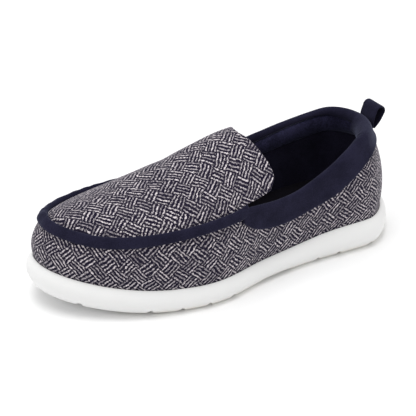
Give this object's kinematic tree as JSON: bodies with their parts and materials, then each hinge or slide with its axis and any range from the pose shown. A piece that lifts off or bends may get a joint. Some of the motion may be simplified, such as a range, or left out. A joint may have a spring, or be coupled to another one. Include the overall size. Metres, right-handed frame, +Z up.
{
  "type": "slip-on moccasin slipper",
  "caption": "Slip-on moccasin slipper for the left foot: woven tweed upper, raised toe seam, soft collar band, pull loop and a moulded white sole.",
  "frame": {"origin": "on the floor, under the middle of the slipper's length and width", "axes": "+X to the toe, +Y to the outer side of the foot, +Z up"},
  "size_m": [0.3, 0.1152, 0.1035],
  "materials": {
    "foam_sole": "matt moulded foam, white",
    "tweed": "basket-woven tweed, pinkish grey yarn on dark navy",
    "suede": "dark navy microsuede with a short nap",
    "lining": "dark navy brushed lining"
  },
  "bodies": {
    "root": {"sole": "foam_sole", "upper": "tweed", "moc_strip": "suede", "collar_band": "suede", "heel_loop": "suede", "insole": "lining"}
  },
  "joints": []
}
